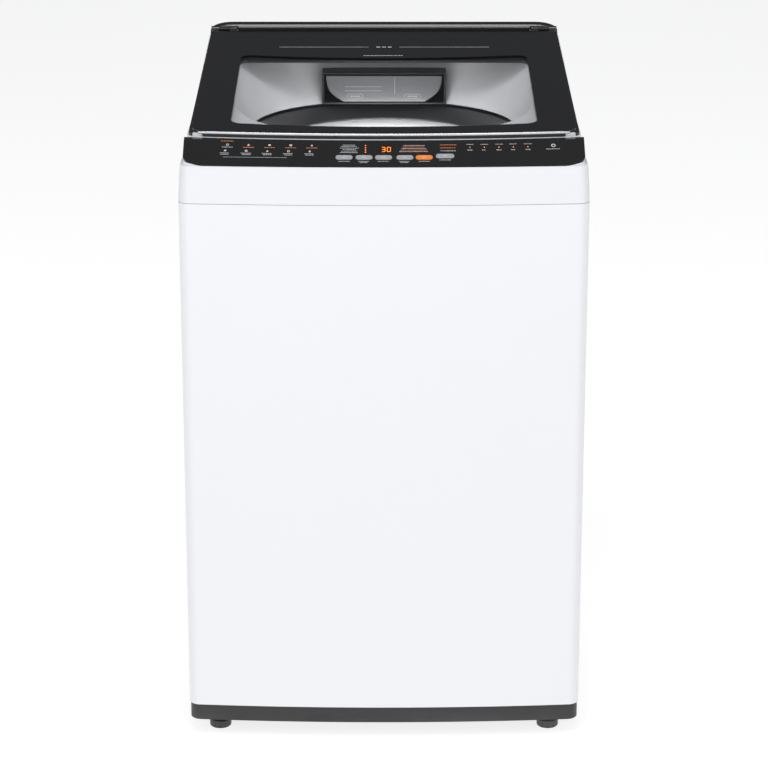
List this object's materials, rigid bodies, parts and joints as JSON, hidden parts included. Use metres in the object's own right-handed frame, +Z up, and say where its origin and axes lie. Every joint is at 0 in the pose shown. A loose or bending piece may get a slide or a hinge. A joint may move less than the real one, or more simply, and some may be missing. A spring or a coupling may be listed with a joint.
{
  "type": "top load washing machine",
  "caption": "Top load washing machine with a sloping glass lid and control panel, hung tub, perforated basket, pulsator, belt drive and adjustable front feet",
  "frame": {"origin": "on the floor under the middle of the machine, at the centre of its footprint", "axes": "+Z up, -Y to the front where the user stands, +X to the user's right"},
  "size_m": [0.59, 0.604, 0.99],
  "materials": {
    "white_paint": "satin white enamel on sheet steel",
    "galvanised_steel": "zinc coated sheet",
    "steel": "drawn wire and rod",
    "basket_steel": "perforated stainless sheet",
    "white_plastic": "moulded white plastic",
    "black_plastic": "moulded black plastic",
    "grey_plastic": "moulded grey plastic",
    "gloss_black": "polished black plastic",
    "smoke_plastic": "smoked translucent plastic",
    "button_grey": "satin grey key cap",
    "button_orange": "satin orange key cap",
    "lens": "dark display lens",
    "lid_glass": "toughened glass with a black printed border",
    "chrome_trim": "bright plated strip",
    "cast_aluminium": "die cast aluminium",
    "rubber": "black rubber",
    "foot_rubber": "moulded black foot pad on a screw",
    "circuit_board": "green circuit board"
  },
  "bodies": {
    "cabinet_body": {"cabinet": "white_paint", "rear_panel": "galvanised_steel", "base_frame": "black_plastic", "top_cover": "white_plastic", "control_panel": "gloss_black", "display_window": "lens", "control_board": "circuit_board", "rear_cover": "gloss_black", "hinge_pin_left": "steel", "hinge_pin_right": "steel", "lid_switch": "black_plastic", "dispenser_housing": "black_plastic", "inlet_valve": "black_plastic", "cord_gland": "rubber", "drain_outlet": "grey_plastic", "pressure_sensor": "grey_plastic", "corner_bracket_front_left": "galvanised_steel", "corner_bracket_front_right": "galvanised_steel", "corner_bracket_rear_left": "galvanised_steel", "corner_bracket_rear_right": "galvanised_steel", "suspension_rod_front_left": "steel", "suspension_rod_front_right": "steel", "suspension_rod_rear_left": "steel", "suspension_rod_rear_right": "steel", "suspension_spring_front_left": "steel", "suspension_spring_front_right": "steel", "suspension_spring_rear_left": "steel", "suspension_spring_rear_right": "steel", "rear_foot_left": "foot_rubber", "rear_foot_right": "foot_rubber"},
    "lid": {"lid_frame": "black_plastic", "lid_glass": "lid_glass", "lid_trim": "chrome_trim", "lid_bumper_left": "grey_plastic", "lid_bumper_right": "grey_plastic"},
    "foot_left": {"front_foot_left": "foot_rubber"},
    "foot_right": {"front_foot_right": "foot_rubber"},
    "power_key": {"button_power": "button_grey"},
    "program_key": {"button_program": "button_grey"},
    "water_level_key": {"button_water_level": "button_grey"},
    "wash_time_key": {"button_wash_time": "button_grey"},
    "start_key": {"button_start": "button_orange"},
    "delay_key": {"button_delay": "button_grey"},
    "drawer": {"detergent_drawer": "smoke_plastic"},
    "tub_assembly": {"tub": "white_plastic", "tub_ring": "black_plastic", "tub_bracket": "galvanised_steel", "shaft_seal": "rubber", "drain_valve": "grey_plastic", "gearbox": "cast_aluminium", "motor": "cast_aluminium", "drive_belt": "rubber"},
    "basket_assembly": {"basket": "basket_steel", "balance_ring": "white_plastic", "basket_hub": "cast_aluminium", "lint_filter": "white_plastic"},
    "pulsator_assembly": {"pulsator": "white_plastic", "pulsator_cap": "grey_plastic"},
    "large_pulley": {"drive_pulley": "cast_aluminium"},
    "small_pulley": {"motor_pulley": "cast_aluminium"}
  },
  "joints": [
    {"name": "lid_hinge", "type": "hinge", "parent": "cabinet_body", "child": "lid", "pos_m": [0, 0.281, 0.981], "axis": [-1, 0, 0], "range_deg": [0, 95]},
    {"name": "foot_left_height", "type": "slide", "parent": "cabinet_body", "child": "foot_left", "axis": [0, 0, -1], "range_m": [0, 0.012]},
    {"name": "foot_right_height", "type": "slide", "parent": "cabinet_body", "child": "foot_right", "axis": [0, 0, -1], "range_m": [0, 0.012]},
    {"name": "power_press", "type": "slide", "parent": "cabinet_body", "child": "power_key", "axis": [0, 0.5345, -0.8452], "range_m": [0, 0.0015], "stiffness_N_per_m": 600, "springref_m": -0.001},
    {"name": "program_press", "type": "slide", "parent": "cabinet_body", "child": "program_key", "axis": [0, 0.5345, -0.8452], "range_m": [0, 0.0015], "stiffness_N_per_m": 600, "springref_m": -0.001},
    {"name": "water_level_press", "type": "slide", "parent": "cabinet_body", "child": "water_level_key", "axis": [0, 0.5345, -0.8452], "range_m": [0, 0.0015], "stiffness_N_per_m": 600, "springref_m": -0.001},
    {"name": "wash_time_press", "type": "slide", "parent": "cabinet_body", "child": "wash_time_key", "axis": [0, 0.5345, -0.8452], "range_m": [0, 0.0015], "stiffness_N_per_m": 600, "springref_m": -0.001},
    {"name": "start_press", "type": "slide", "parent": "cabinet_body", "child": "start_key", "axis": [0, 0.5345, -0.8452], "range_m": [0, 0.0015], "stiffness_N_per_m": 600, "springref_m": -0.001},
    {"name": "delay_press", "type": "slide", "parent": "cabinet_body", "child": "delay_key", "axis": [0, 0.5345, -0.8452], "range_m": [0, 0.0015], "stiffness_N_per_m": 600, "springref_m": -0.001},
    {"name": "drawer_slide", "type": "slide", "parent": "cabinet_body", "child": "drawer", "axis": [0, -1, 0], "range_m": [0, 0.07]},
    {"name": "tub_suspension", "type": "slide", "parent": "cabinet_body", "child": "tub_assembly", "axis": [0, 0, 1], "range_m": [-0.02, 0], "stiffness_N_per_m": 20000, "springref_m": 0.035, "deforming": ["suspension_spring_front_left", "suspension_spring_front_right", "suspension_spring_rear_left", "suspension_spring_rear_right"]},
    {"name": "basket_spin", "type": "hinge", "parent": "tub_assembly", "child": "basket_assembly", "pos_m": [0, 0, 0.5], "axis": [0, 0, 1], "continuous": true},
    {"name": "pulsator_turn", "type": "hinge", "parent": "basket_assembly", "child": "pulsator_assembly", "pos_m": [0, 0, 0.28], "axis": [0, 0, 1], "continuous": true},
    {"name": "drive_pulley_spin", "type": "hinge", "parent": "tub_assembly", "child": "large_pulley", "pos_m": [0, 0, 0.1], "axis": [0, 0, 1], "continuous": true},
    {"name": "motor_pulley_spin", "type": "hinge", "parent": "tub_assembly", "child": "small_pulley", "pos_m": [0.155, 0, 0.1], "axis": [0, 0, 1], "continuous": true}
  ],
  "couplings": [
    {"joint": "drive_pulley_spin", "follows": "pulsator_turn", "ratio": 4},
    {"joint": "motor_pulley_spin", "follows": "pulsator_turn", "ratio": 9.1613}
  ]
}
